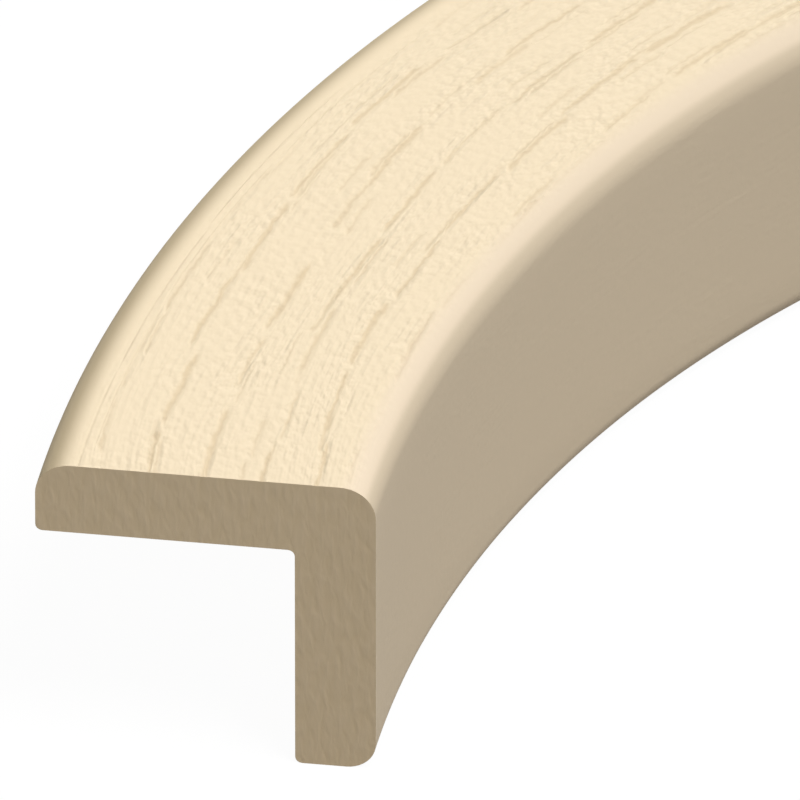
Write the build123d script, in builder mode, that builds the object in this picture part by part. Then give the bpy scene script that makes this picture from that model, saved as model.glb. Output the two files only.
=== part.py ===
from build123d import *
import os

# Corner moulding: an angle section with a rounded ridge, bent to an arch of nearly a half turn.
# It lies as it would on a bench: face flange on top, reveal leg down, crown of the arch towards +Y.
# Millimetres. The origin is the middle of the underside of the bounding box.

# Section
FACE_WIDTH = 28.6        # flange that lies on the wall, measured from the concave face outwards
REVEAL_DEPTH = 28.6      # leg that lines the opening, measured from the top of the flange down
THICKNESS = 6.8          # wall of both legs
RIDGE_RADIUS = 3.0       # the outside corner that shows
FLANGE_TIP_RADIUS = 3.0  # show edge at the tip of the flange
LEG_TIP_RADIUS = 2.5     # show edge at the tip of the leg
BACK_EDGE_RADIUS = 0.6   # hidden edge at the tip of each leg
ROOT_RADIUS = 0.6        # inside corner, where the two backs meet

# Bend
BEND_RADIUS = 120.0      # concave face, from the axis of the arch
SPRINGING = 5.6          # both ends are sawn off in one plane, this far above the axis of the arch

outer_radius = BEND_RADIUS + FACE_WIDTH
leg_back = BEND_RADIUS + THICKNESS
flange_back = REVEAL_DEPTH - THICKNESS

# The axis of the arch stands behind the origin by the middle of the arch's depth.
arch_y = -(outer_radius + SPRINGING) / 2
arch_axis = Axis((0, arch_y, 0), (0, 0, 1))

# The section is drawn beside the axis: across is the distance from the axis, up is the height.
section_plane = Plane(origin=(0, arch_y, 0), x_dir=(1, 0, 0), z_dir=(0, -1, 0))
sawn_plane = Plane(origin=(0, arch_y + SPRINGING, 0), z_dir=(0, 1, 0))

with BuildPart() as corner_moulding:
    with BuildSketch(section_plane) as section:
        with BuildLine():
            FilletPolyline(
                (BEND_RADIUS, 0),
                (BEND_RADIUS, REVEAL_DEPTH),
                (outer_radius, REVEAL_DEPTH),
                (outer_radius, flange_back),
                (leg_back, flange_back),
                (leg_back, 0),
                radius=[
                    LEG_TIP_RADIUS,
                    RIDGE_RADIUS,
                    FLANGE_TIP_RADIUS,
                    BACK_EDGE_RADIUS,
                    ROOT_RADIUS,
                    BACK_EDGE_RADIUS,
                ],
                close=True,
            )
        make_face()
    revolve(axis=arch_axis, revolution_arc=180)
    split(bisect_by=sawn_plane, keep=Keep.TOP)

os.makedirs("parts", exist_ok=True)
corner_moulding.part.label = "corner_moulding"
export_step(corner_moulding.part, "parts/corner_moulding.step")
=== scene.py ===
import math

import bpy
import numpy as np
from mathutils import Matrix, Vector


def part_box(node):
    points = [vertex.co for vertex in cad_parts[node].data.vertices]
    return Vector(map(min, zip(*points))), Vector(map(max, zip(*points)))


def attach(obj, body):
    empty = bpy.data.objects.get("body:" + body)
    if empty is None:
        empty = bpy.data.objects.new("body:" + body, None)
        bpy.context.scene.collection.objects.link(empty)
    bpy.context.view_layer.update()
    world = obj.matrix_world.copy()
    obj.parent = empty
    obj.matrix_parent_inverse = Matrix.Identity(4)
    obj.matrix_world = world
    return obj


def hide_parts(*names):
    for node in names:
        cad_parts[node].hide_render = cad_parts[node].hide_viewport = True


# The looks of an arched corner moulding: an angle section of cream polymer, its face flange embossed
# with wood grain, its ridge and reveal leg smooth, its ends sawn. Metres, in the frame of the solids.
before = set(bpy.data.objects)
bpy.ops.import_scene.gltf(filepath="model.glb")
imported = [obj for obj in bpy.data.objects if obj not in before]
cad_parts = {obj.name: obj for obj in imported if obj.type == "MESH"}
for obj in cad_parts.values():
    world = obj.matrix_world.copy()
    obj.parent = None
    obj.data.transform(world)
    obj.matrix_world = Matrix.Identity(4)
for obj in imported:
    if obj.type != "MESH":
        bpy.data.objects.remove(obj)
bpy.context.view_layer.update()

NODE = "corner_moulding"
MM = 0.001

# Section, as in the solids
FACE_WIDTH = 28.6 * MM
THICKNESS = 6.8 * MM
RIDGE_RADIUS = 3.0 * MM
FLANGE_TIP_RADIUS = 3.0 * MM
LEG_TIP_RADIUS = 2.5 * MM
BACK_EDGE_RADIUS = 0.6 * MM
ROOT_RADIUS = 0.6 * MM

# Mesh: rings along the arch, steps across its grained face, and the turn past which an edge is sharp
RINGS = 480
FACE_STEPS = 130
SHARP_DEGREES = 50.0

# Camera: a long lens far off, because the photo has hardly any perspective
LENS_MM = 1700.0
CAMERA_AZIMUTH = 7.876
CAMERA_ELEVATION = 35.480
CAMERA_DISTANCE = 3.14867
VIEW_CENTRE = (-0.11965, -0.05838, 0.02860)

# The bend, from the box of the solid: both ends lie in one plane, a little above the axis of the arch
low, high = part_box(NODE)
reveal_depth = high.z - low.z
half_span = (high.x - low.x) / 2
arch_depth = high.y - low.y
outer_radius = (half_span**2 / arch_depth + arch_depth) / 2
springing = outer_radius - arch_depth
arch_y = low.y - springing
bend_radius = outer_radius - FACE_WIDTH
middle_radius = bend_radius + FACE_WIDTH / 2


def linear(hex_colour):
    """An sRGB hex colour as linear red, green, blue and alpha."""
    channels = [int(hex_colour[i : i + 2], 16) / 255 for i in (1, 3, 5)]
    bent = [c / 12.92 if c <= 0.04045 else ((c + 0.055) / 1.055) ** 2.4 for c in channels]
    return (*bent, 1.0)


def add_node(tree, kind, inputs=None, **settings):
    """Adds a node with its settings, and fills each input, by name or number, with a value or a link.
    A node given as an input stands for its first output in use."""
    node = tree.nodes.new(kind)
    for name, value in settings.items():
        setattr(node, name, value)
    sockets = {socket.identifier: socket for socket in node.inputs}
    for name, value in (inputs or {}).items():
        socket = sockets[name] if name in sockets else node.inputs[name]
        if isinstance(value, bpy.types.Node):
            value = next(output for output in value.outputs if output.enabled)
        if isinstance(value, bpy.types.NodeSocket):
            tree.links.new(value, socket)
        else:
            socket.default_value = value
    return node


# Mesh of the moulding
FACE, BACK, SAWN = 0, 1, 2


def straight(start, end, steps):
    """Points of a flat stretch, from its start up to its end, which the next stretch begins with."""
    share = np.linspace(0, 1, steps, endpoint=False)[:, None]
    return np.array(start) * (1 - share) + np.array(end) * share


def rounded(centre, radius, start_degrees, end_degrees, steps):
    """Points of a round edge, from its start up to its end, which the next stretch begins with."""
    angle = np.radians(np.linspace(start_degrees, end_degrees, steps, endpoint=False))
    return np.array(centre) + radius * np.stack([np.cos(angle), np.sin(angle)], axis=1)


def section_outline():
    """The section's points, down the back of the leg, up the concave face, over the ridge and back
    under the flange, with a material for each step. Across runs from the concave face outwards.
    The last number of each stretch is how many steps it has."""
    top, tip, leg_back = reveal_depth, FACE_WIDTH, THICKNESS
    flange_back = top - THICKNESS
    ridge, edge, root = RIDGE_RADIUS, BACK_EDGE_RADIUS, ROOT_RADIUS
    nose, toe = FLANGE_TIP_RADIUS, LEG_TIP_RADIUS
    stretches = [
        (BACK, straight((leg_back, flange_back - root), (leg_back, edge), 8)),
        (BACK, rounded((leg_back - edge, edge), edge, 0, -90, 4)),
        (BACK, straight((leg_back - edge, 0), (toe, 0), 2)),
        (FACE, rounded((toe, toe), toe, -90, -180, 10)),
        (FACE, straight((0, toe), (0, top - ridge), 8)),
        (FACE, rounded((ridge, top - ridge), ridge, 180, 90, 14)),
        (FACE, straight((ridge, top), (tip - nose, top), FACE_STEPS)),
        (FACE, rounded((tip - nose, top - nose), nose, 90, 0, 12)),
        (FACE, straight((tip, top - nose), (tip, flange_back + edge), 3)),
        (BACK, rounded((tip - edge, flange_back + edge), edge, 0, -90, 4)),
        (BACK, straight((tip - edge, flange_back), (leg_back + root, flange_back), 8)),
        (BACK, rounded((leg_back + root, flange_back - root), root, 90, 180, 4)),
    ]
    outline = np.concatenate([points for _, points in stretches])
    materials = np.concatenate([np.full(len(points), kind) for kind, points in stretches])
    return outline, materials


def grain_coordinates(outline, angle):
    """Millimetres along the stock, and round its section, outwards from where the ridge meets the face."""
    along = angle * middle_radius / MM
    steps = np.linalg.norm(np.diff(outline, axis=0, prepend=outline[:1]), axis=1)
    around = np.cumsum(steps) / MM
    from_ridge_end = np.linalg.norm(outline - (RIDGE_RADIUS, reveal_depth), axis=1)
    out = np.broadcast_to(around - around[np.argmin(from_ridge_end)], along.shape)
    return np.stack([along, out, np.zeros(along.shape)], axis=-1)


def moulding_mesh():
    """The section carried round the arch as rings of points, with each end closed by one flat face."""
    outline, step_materials = section_outline()
    across, up = outline.T
    radius = bend_radius + across
    end_angle = np.arcsin(springing / radius)
    share = np.linspace(0, 1, RINGS + 1)[:, None]
    angle = end_angle + share * (math.pi - 2 * end_angle)
    points = [-radius * np.cos(angle), arch_y + radius * np.sin(angle), low.z + up + 0 * angle]
    points = np.stack(points, axis=-1).reshape(-1, 3)

    count = len(outline)
    first = (np.arange(RINGS)[:, None] * count + np.arange(count)).ravel()
    beside = (np.arange(RINGS)[:, None] * count + (np.arange(count) + 1) % count).ravel()
    walls = np.stack([first, first + count, beside + count, beside], axis=1)
    left_end = list(range(count))
    right_end = list(range(RINGS * count, (RINGS + 1) * count))[::-1]

    mesh = bpy.data.meshes.new("grained_moulding")
    mesh.from_pydata(points.tolist(), [], walls.tolist() + [left_end, right_end])
    materials = np.concatenate([np.tile(step_materials, RINGS), [SAWN, SAWN]])
    mesh.polygons.foreach_set("material_index", materials.astype(np.int32))
    grain = mesh.attributes.new("grain", "FLOAT_VECTOR", "POINT")
    grain.data.foreach_set("vector", grain_coordinates(outline, angle).astype(np.float32).ravel())
    mesh.shade_smooth()
    mesh.set_sharp_from_angle(angle=math.radians(SHARP_DEGREES))
    return mesh


# Wood grain of the emboss, in millimetres. The same nodes press the relief and colour the pores.
# Each family of pores lies in rows along the stock, and each row is a chain of pores of one length.
# Some are missing (a chance below the gap) and each has its own place, girth and depth. The grain's
# rows drift, meander and tear. The fine lines along the outer edge run straight. Between the pores lies
# a grit of sand and fibres, stronger in some patches than in others.
# Each pair of places, out from where the ridge meets the face, says where something starts and is full.
face_end = (FACE_WIDTH - RIDGE_RADIUS - FLANGE_TIP_RADIUS) / MM
GRAIN_BAND = ((-1.8, -0.5), (face_end - 0.8, face_end - 2.0))
EDGE_BAND = ((face_end - 2.0, face_end - 1.7), (face_end - 0.1, face_end - 0.4))
PLAIN_RIDGE, PLAIN_EDGE = (0.0, -1.8), (face_end - 2.0, face_end + 0.5)
PORES = [
    dict(spacing=4.4, length=11.0, width=0.42, gap=0.00, strength=0.95, seed=3.0, tears=1.0),
    dict(spacing=4.4, length=8.0, width=0.36, gap=0.20, strength=0.8, seed=8.0, tears=1.0),
    dict(spacing=2.3, length=6.5, width=0.30, gap=0.55, strength=0.7, seed=5.0, tears=1.0),
    dict(spacing=0.8, length=21.0, width=0.12, gap=0.10, strength=0.6, seed=6.0, tears=0.0),
]
# A pore's shape: its middle's place in the row and its girth, from least to most, as shares of spacing
# and width, then how it fades and narrows to its ends, in lengths from its middle, and its two walls,
# in widths from its middle line. A pore whose chance is little above the gap is shallow.
PORE_PLACE, PORE_GIRTH = (0.35, 0.65), (0.7, 1.3)
PORE_FADE, PORE_TAPER = (0.55, 0.38), (0.8, 0.3)
INNER_WALL, OUTER_WALL = (-0.9, 0.6), (2.0, 0.3)
SHALLOW_CHANCE = 0.3
PRESSED_DEPTH, PORE_DEPTH, GRIT_DEPTH, PLAIN_GRIT_DEPTH = 0.03, 0.075, 0.15, 0.015
DRIFT = -0.034
MEANDER_LENGTH, MEANDER_WIDTH, MEANDER_REACH = 40.0, 14.0, 1.6
TEAR_LENGTH, TEAR_WIDTH, TEAR_REACH = 4.0, 1.6, 0.35
SAND_LENGTH, SAND_WIDTH, SAND_REACH = 1.0, 0.55, 0.35
FIBRE_LENGTH, FIBRE_WIDTH, FIBRE_SHARE = 8.0, 0.55, 1.0
PATCH_LENGTH, PATCH_WIDTH = 9.0, 3.0


def grain_noise(tree, grain, length, width, detail):
    """Noise between 0 and 1 whose blots have this length along the grain and width across it."""
    stretched = add_node(
        tree, "ShaderNodeVectorMath", {0: grain, 1: (1 / length, 1 / width, 0)}, operation="MULTIPLY"
    )
    settings = {"Vector": stretched, "Scale": 1.0, "Detail": detail}
    return add_node(tree, "ShaderNodeTexNoise", settings, noise_dimensions="2D")


def fade(tree, value, limits):
    """0 at the first limit and 1 at the second, with a soft slope between them."""
    settings = {"Value": value, "From Min": limits[0], "From Max": limits[1]}
    return add_node(tree, "ShaderNodeMapRange", settings, interpolation_type="SMOOTHSTEP")


def pore_rows(tree, along, out, family):
    """One family of pores, from 0 outside them to 1 at their deepest, a bit steeper towards the ridge."""
    place = add_node(tree, "ShaderNodeMath", {0: out, 1: family["spacing"]}, operation="DIVIDE")
    row = add_node(tree, "ShaderNodeMath", {0: place}, operation="FLOOR")
    start = add_node(tree, "ShaderNodeMath", {0: row, 1: family["seed"]}, operation="ADD")
    start = add_node(tree, "ShaderNodeTexWhiteNoise", {"W": start}, noise_dimensions="1D")
    run = add_node(tree, "ShaderNodeMath", {0: along, 1: family["length"]}, operation="DIVIDE")
    run = add_node(tree, "ShaderNodeMath", {0: run, 1: start}, operation="ADD")
    pore = add_node(tree, "ShaderNodeMath", {0: run}, operation="FLOOR")
    from_middle = add_node(tree, "ShaderNodeMath", {0: run}, operation="FRACT")
    from_middle = add_node(tree, "ShaderNodeMath", {0: from_middle, 1: 0.5}, operation="SUBTRACT")

    which = add_node(tree, "ShaderNodeCombineXYZ", {"X": pore, "Y": row, "Z": family["seed"]})
    chances = add_node(tree, "ShaderNodeTexWhiteNoise", {"Vector": which}, noise_dimensions="3D")
    aside, depth, girth = add_node(tree, "ShaderNodeSeparateXYZ", {0: chances.outputs["Color"]}).outputs

    limits = {"Value": aside, "To Min": PORE_PLACE[0], "To Max": PORE_PLACE[1]}
    middle = add_node(tree, "ShaderNodeMapRange", limits)
    apart = add_node(tree, "ShaderNodeMath", {0: place}, operation="FRACT")
    apart = add_node(tree, "ShaderNodeMath", {0: apart, 1: middle}, operation="SUBTRACT")
    apart = add_node(tree, "ShaderNodeMath", {0: apart, 1: family["spacing"]}, operation="MULTIPLY")

    from_middle = add_node(tree, "ShaderNodeMath", {0: from_middle}, operation="ABSOLUTE")
    present = fade(tree, depth, (family["gap"], family["gap"] + SHALLOW_CHANCE))
    tapered = {0: present, 1: fade(tree, from_middle, PORE_FADE)}
    present = add_node(tree, "ShaderNodeMath", tapered, operation="MULTIPLY")
    slimmest, widest = (share * family["width"] for share in PORE_GIRTH)
    width = add_node(tree, "ShaderNodeMapRange", {"Value": girth, "To Min": slimmest, "To Max": widest})
    narrowed = {0: width, 1: fade(tree, from_middle, PORE_TAPER)}
    width = add_node(tree, "ShaderNodeMath", narrowed, operation="MULTIPLY")
    in_widths = add_node(tree, "ShaderNodeMath", {0: apart, 1: width}, operation="DIVIDE")
    walls = {0: fade(tree, in_widths, INNER_WALL), 1: fade(tree, in_widths, OUTER_WALL)}
    hollow = add_node(tree, "ShaderNodeMath", walls, operation="MULTIPLY")
    return add_node(tree, "ShaderNodeMath", {0: hollow, 1: present}, operation="MULTIPLY")


def wood_grain(tree, grain):
    """The face's pores, the grit between them, and the millimetres out from the ridge."""
    along, out, _ = add_node(tree, "ShaderNodeSeparateXYZ", {0: grain}).outputs
    meander = grain_noise(tree, grain, MEANDER_LENGTH, MEANDER_WIDTH, 1.0)
    limits = {"Value": meander, "To Min": -MEANDER_REACH, "To Max": MEANDER_REACH}
    meander = add_node(tree, "ShaderNodeMapRange", limits)
    bend = add_node(tree, "ShaderNodeMath", {0: along, 1: DRIFT, 2: meander}, operation="MULTIPLY_ADD")

    level = add_node(tree, "ShaderNodeMath", {0: out, 1: bend}, operation="ADD")
    flow = add_node(tree, "ShaderNodeCombineXYZ", {"X": along, "Y": level})
    sand = grain_noise(tree, flow, SAND_LENGTH, SAND_WIDTH, 0.7)
    fibres = grain_noise(tree, flow, FIBRE_LENGTH, FIBRE_WIDTH, 0.7)
    grit = {0: fibres, 1: FIBRE_SHARE, 2: sand}
    grit = add_node(tree, "ShaderNodeMath", grit, operation="MULTIPLY_ADD")
    grit_middle = 0.5 + 0.5 * FIBRE_SHARE
    grit = add_node(tree, "ShaderNodeMath", {0: grit, 1: grit_middle}, operation="SUBTRACT")

    tear = grain_noise(tree, grain, TEAR_LENGTH, TEAR_WIDTH, 3.0)
    limits = {"Value": tear, "To Min": -TEAR_REACH, "To Max": TEAR_REACH}
    tear = add_node(tree, "ShaderNodeMapRange", limits)
    bend = add_node(tree, "ShaderNodeMath", {0: bend, 1: tear}, operation="ADD")
    bend = add_node(tree, "ShaderNodeMath", {0: sand, 1: SAND_REACH, 2: bend}, operation="MULTIPLY_ADD")

    pores = None
    for family in PORES:
        bent = {0: bend, 1: family["tears"], 2: out}
        bent = add_node(tree, "ShaderNodeMath", bent, operation="MULTIPLY_ADD")
        rows = pore_rows(tree, along, bent, family)
        for limits in GRAIN_BAND if family["tears"] else EDGE_BAND:
            within = fade(tree, out, limits)
            rows = add_node(tree, "ShaderNodeMath", {0: rows, 1: within}, operation="MULTIPLY")
        rows = add_node(tree, "ShaderNodeMath", {0: rows, 1: family["strength"]}, operation="MULTIPLY")
        if pores is not None:
            rows = add_node(tree, "ShaderNodeMath", {0: pores, 1: rows}, operation="MAXIMUM")
        pores = rows
    return pores, grit, out


def emboss_nodes():
    """A modifier's nodes that press the pores into the face."""
    tree = bpy.data.node_groups.new("emboss", "GeometryNodeTree")
    tree.interface.new_socket("Geometry", in_out="INPUT", socket_type="NodeSocketGeometry")
    tree.interface.new_socket("Geometry", in_out="OUTPUT", socket_type="NodeSocketGeometry")
    plain = add_node(tree, "NodeGroupInput")
    grain = add_node(
        tree, "GeometryNodeInputNamedAttribute", {"Name": "grain"}, data_type="FLOAT_VECTOR"
    )
    pores, _, _ = wood_grain(tree, grain)
    press = add_node(tree, "ShaderNodeMath", {0: pores, 1: -PRESSED_DEPTH * MM}, operation="MULTIPLY")
    offset = add_node(tree, "ShaderNodeCombineXYZ", {"Z": press})
    pressed = add_node(tree, "GeometryNodeSetPosition", {"Geometry": plain, "Offset": offset})
    add_node(tree, "NodeGroupOutput", {"Geometry": pressed})
    return tree


def press_emboss(piece):
    """Presses the grain into the piece's own mesh, so that no modifier is left on it."""
    piece.modifiers.new("emboss", "NODES").node_group = emboss_nodes()
    depsgraph = bpy.context.evaluated_depsgraph_get()
    pressed = bpy.data.meshes.new_from_object(
        piece.evaluated_get(depsgraph), preserve_all_data_layers=True, depsgraph=depsgraph
    )
    piece.modifiers.clear()
    piece.data = pressed


# Materials. Marks are in millimetres. Only the deeper part of a pore is stained, and each tone of the
# skin's plain stretches has its own pair of places, out from where the ridge meets the face. The ridge's
# tone is a rosy tint; the tones of the reveal and of the flange's tip are painted shade.
SPECULAR = 0.15
STAINED = (0.3, 1.0)
# Painted shade: the reveal and the round tip of the flange get a darker cream than the face, deepening the
# shade that the lamps give there.
RIDGE_TONE, REVEAL_PAINTED_SHADE, EDGE_PAINTED_SHADE = (0.4, -1.6), (-2.1, -3.0), (face_end - 0.4, face_end + 1.8)
# The ridge's cream is a rosy tint; the reveal's and the edge's darker creams are painted shade.
RIDGE_TINT_AND_PAINTED_SHADES = [(RIDGE_TONE, "#F8E5CA"), (REVEAL_PAINTED_SHADE, "#E8D6BA"), (EDGE_PAINTED_SHADE, "#CBB997")]
DIE_LINE_LENGTH, DIE_LINE_WIDTH, DIE_LINE_DEPTH = 140.0, 0.5, 0.02
SAW_MARK_LENGTH, SAW_MARK_WIDTH, SAW_MARK_DEPTH = 2.0, 0.7, 0.07
SAW_LEAN_DEGREES = -1.0


def empty_material(name):
    """A material with nothing in its tree, and the tree."""
    material = bpy.data.materials.new(name)
    material.use_nodes = True
    material.node_tree.nodes.clear()
    return material, material.node_tree


def matte_polymer(tree, colour, roughness, height):
    """The shader of this polymer, dull with hardly any gloss, over a relief in millimetres."""
    relief = add_node(tree, "ShaderNodeBump", {"Height": height, "Distance": MM, "Strength": 1.0})
    surface = {"Base Color": colour, "Roughness": roughness, "Normal": relief}
    even = {"IOR": 1.5, "Specular IOR Level": SPECULAR}
    shader = add_node(tree, "ShaderNodeBsdfPrincipled", surface | even)
    add_node(tree, "ShaderNodeOutputMaterial", {"Surface": shader})


def embossed_skin():
    """Solid polymer pressed by a grained roller while soft: a dull cream face with open pores, a slightly
    rosy ridge, and painted shade on the plain reveal and the plain edge of the flange, which are a darker
    cream than the face."""
    material, tree = empty_material("embossed_polymer")
    grain = add_node(tree, "ShaderNodeAttribute", attribute_name="grain").outputs["Vector"]
    pores, grit, out = wood_grain(tree, grain)

    stain = fade(tree, pores, STAINED)
    colours = {"Factor_Float": stain, "A_Color": linear("#FAE7C6"), "B_Color": linear("#ECD6B2")}
    colour = add_node(tree, "ShaderNodeMix", colours, data_type="RGBA")
    # A rosy tint over the ridge, then painted shade: darker creams over the reveal and the flange's round
    # tip.
    for limits, tone in RIDGE_TINT_AND_PAINTED_SHADES:
        colours = {"Factor_Float": fade(tree, out, limits), "A_Color": colour, "B_Color": linear(tone)}
        colour = add_node(tree, "ShaderNodeMix", colours, data_type="RGBA")

    roughness = add_node(tree, "ShaderNodeMapRange", {"Value": pores, "To Min": 0.7, "To Max": 0.85})
    patches = grain_noise(tree, grain, PATCH_LENGTH, PATCH_WIDTH, 1.0)
    limits = {"Value": patches, "From Min": 0.3, "From Max": 0.7, "To Min": 0.4, "To Max": 1.0}
    grit = {0: grit, 1: add_node(tree, "ShaderNodeMapRange", limits)}
    grit = add_node(tree, "ShaderNodeMath", grit, operation="MULTIPLY")
    plain = {0: fade(tree, out, PLAIN_RIDGE), 1: fade(tree, out, PLAIN_EDGE)}
    plain = add_node(tree, "ShaderNodeMath", plain, operation="MAXIMUM")
    limits = {"Value": plain, "To Min": GRIT_DEPTH, "To Max": PLAIN_GRIT_DEPTH}
    grit = {0: grit, 1: add_node(tree, "ShaderNodeMapRange", limits)}
    grit = add_node(tree, "ShaderNodeMath", grit, operation="MULTIPLY")
    height = {0: pores, 1: -PORE_DEPTH, 2: grit}
    height = add_node(tree, "ShaderNodeMath", height, operation="MULTIPLY_ADD")
    matte_polymer(tree, colour, roughness, height)
    return material


def drawn_back():
    """The same polymer where the die dragged along it: plain, with faint long lines."""
    material, tree = empty_material("die_drawn_polymer")
    grain = add_node(tree, "ShaderNodeAttribute", attribute_name="grain").outputs["Vector"]
    lines = grain_noise(tree, grain, DIE_LINE_LENGTH, DIE_LINE_WIDTH, 2.0)
    colours = {"Factor_Float": lines, "A_Color": linear("#EFDBB8"), "B_Color": linear("#F6E4C3")}
    colour = add_node(tree, "ShaderNodeMix", colours, data_type="RGBA")
    roughness = add_node(tree, "ShaderNodeMapRange", {"Value": lines, "To Min": 0.7, "To Max": 0.8})
    height = add_node(tree, "ShaderNodeMath", {0: lines, 1: DIE_LINE_DEPTH}, operation="MULTIPLY")
    matte_polymer(tree, colour, roughness, height)
    return material


def sawn_end():
    """The polymer where a saw cut it: a little yellower than the skin, with faint upright saw marks."""
    material, tree = empty_material("sawn_polymer")
    place = add_node(tree, "ShaderNodeTexCoord").outputs["Object"]
    leaning = {
        "Vector": place,
        "Rotation": (0, math.radians(SAW_LEAN_DEGREES), 0),
        "Scale": (SAW_MARK_WIDTH * MM, 1.0, SAW_MARK_LENGTH * MM),
    }
    leaning = add_node(tree, "ShaderNodeMapping", leaning, vector_type="TEXTURE")
    marks = {"Vector": leaning, "Scale": 1.0, "Detail": 1.5, "Distortion": 0.3}
    marks = add_node(tree, "ShaderNodeTexNoise", marks)
    colours = {"Factor_Float": marks, "A_Color": linear("#EBD3AB"), "B_Color": linear("#F3DCB9")}
    colour = add_node(tree, "ShaderNodeMix", colours, data_type="RGBA")
    roughness = add_node(tree, "ShaderNodeMapRange", {"Value": marks, "To Min": 0.8, "To Max": 0.9})
    height = add_node(tree, "ShaderNodeMath", {0: marks, 1: SAW_MARK_DEPTH}, operation="MULTIPLY")
    matte_polymer(tree, colour, roughness, height)
    return material


def moulding():
    """The one piece of the object: the grained moulding, in place of its plain solid."""
    piece = bpy.data.objects.new("grained_moulding", moulding_mesh())
    bpy.context.scene.collection.objects.link(piece)
    press_emboss(piece)
    for material in (embossed_skin(), drawn_back(), sawn_end()):
        piece.data.materials.append(material)
    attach(piece, "root")
    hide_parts(NODE)


# Floor, light and camera. The lit floor is a little past white, so that only the shadow shows on it.
FLOOR_HALF = 3.0
FLOOR_WHITE = 1.01
FLOOR_SHADE = 0.05
FLOOR_BOUNCE = 0.28
SKY_LIGHT = 0.28
LAMPS = {
    "key": {"light": 0.66, "from": (0.28, -0.16, 0.69), "width_degrees": 25.0},
    "rim": {"light": 0.55, "from": (0.00, 0.97, 0.14), "width_degrees": 30.0},
}


def shows_background(tree):
    """1 for the rays that see the background: those from the camera, and through gloss or glass."""
    path = add_node(tree, "ShaderNodeLightPath").outputs
    seen = {0: path["Is Camera Ray"], 1: path["Is Glossy Ray"]}
    seen = add_node(tree, "ShaderNodeMath", seen, operation="MAXIMUM")
    seen = {0: seen, 1: path["Is Transmission Ray"]}
    return add_node(tree, "ShaderNodeMath", seen, operation="MAXIMUM")


def white_floor():
    """Pale studio sheet: white to the camera but for the object's shadow, and a dim source of bounce."""
    material, tree = empty_material("studio_sheet")
    shade = add_node(tree, "ShaderNodeBsdfDiffuse", {"Color": (*[FLOOR_SHADE] * 3, 1)})
    glow = add_node(tree, "ShaderNodeEmission", {"Strength": FLOOR_WHITE - FLOOR_SHADE})
    sheet = add_node(tree, "ShaderNodeAddShader", {0: shade, 1: glow})
    dim = add_node(tree, "ShaderNodeBsdfDiffuse", {"Color": (*[FLOOR_BOUNCE] * 3, 1)})
    lit = add_node(tree, "ShaderNodeMixShader", {0: shows_background(tree), 1: dim, 2: sheet})
    behind = add_node(tree, "ShaderNodeNewGeometry").outputs["Backfacing"]
    clear = add_node(tree, "ShaderNodeBsdfTransparent")
    surface = add_node(tree, "ShaderNodeMixShader", {0: behind, 1: lit, 2: clear})
    add_node(tree, "ShaderNodeOutputMaterial", {"Surface": surface})
    return material


def floor():
    """A level sheet under the object, at the height that its leg stands on."""
    mesh = bpy.data.meshes.new("floor")
    corners = [(-1, -1), (1, -1), (1, 1), (-1, 1)]
    mesh.from_pydata([(x * FLOOR_HALF, y * FLOOR_HALF, low.z) for x, y in corners], [], [(0, 1, 2, 3)])
    mesh.materials.append(white_floor())
    sheet = bpy.data.objects.new("floor", mesh)
    bpy.context.scene.collection.objects.link(sheet)


def sky():
    """An even white dome: with the bounce from the floor, it lights every side of the object alike."""
    world = bpy.data.worlds.new("studio_dome")
    world.use_nodes = True
    tree = world.node_tree
    tree.nodes.clear()
    seen = add_node(tree, "ShaderNodeBackground", {"Color": (1, 1, 1, 1), "Strength": 1.0})
    light = add_node(tree, "ShaderNodeBackground", {"Color": (1, 1, 1, 1), "Strength": SKY_LIGHT})
    mixed = add_node(tree, "ShaderNodeMixShader", {0: shows_background(tree), 1: light, 2: seen})
    add_node(tree, "ShaderNodeOutputWorld", {"Surface": mixed})
    bpy.context.scene.world = world


def lamps():
    """A wide soft key high on the right, which brings the face up to full light, and a rim behind."""
    for name, lamp in LAMPS.items():
        light = bpy.data.lights.new(name, "SUN")
        light.energy = lamp["light"] * math.pi
        light.angle = math.radians(lamp["width_degrees"])
        source = bpy.data.objects.new(name, light)
        source.rotation_mode = "QUATERNION"
        source.rotation_quaternion = Vector(lamp["from"]).to_track_quat("Z", "Y")
        bpy.context.scene.collection.objects.link(source)


def camera():
    """The photo's view: from in front of the arch's open side, looking down on the sawn left end."""
    azimuth, elevation = math.radians(CAMERA_AZIMUTH), math.radians(CAMERA_ELEVATION)
    back = Vector(
        (
            math.sin(azimuth) * math.cos(elevation),
            -math.cos(azimuth) * math.cos(elevation),
            math.sin(elevation),
        )
    )
    lens = bpy.data.cameras.new("camera")
    lens.lens = LENS_MM
    eye = bpy.data.objects.new("camera", lens)
    eye.location = Vector(VIEW_CENTRE) + back * CAMERA_DISTANCE
    eye.rotation_mode = "QUATERNION"
    eye.rotation_quaternion = back.to_track_quat("Z", "Y")
    bpy.context.scene.collection.objects.link(eye)
    bpy.context.scene.camera = eye


moulding()
floor()
sky()
lamps()
camera()
bpy.context.scene.view_settings.view_transform = "Standard"
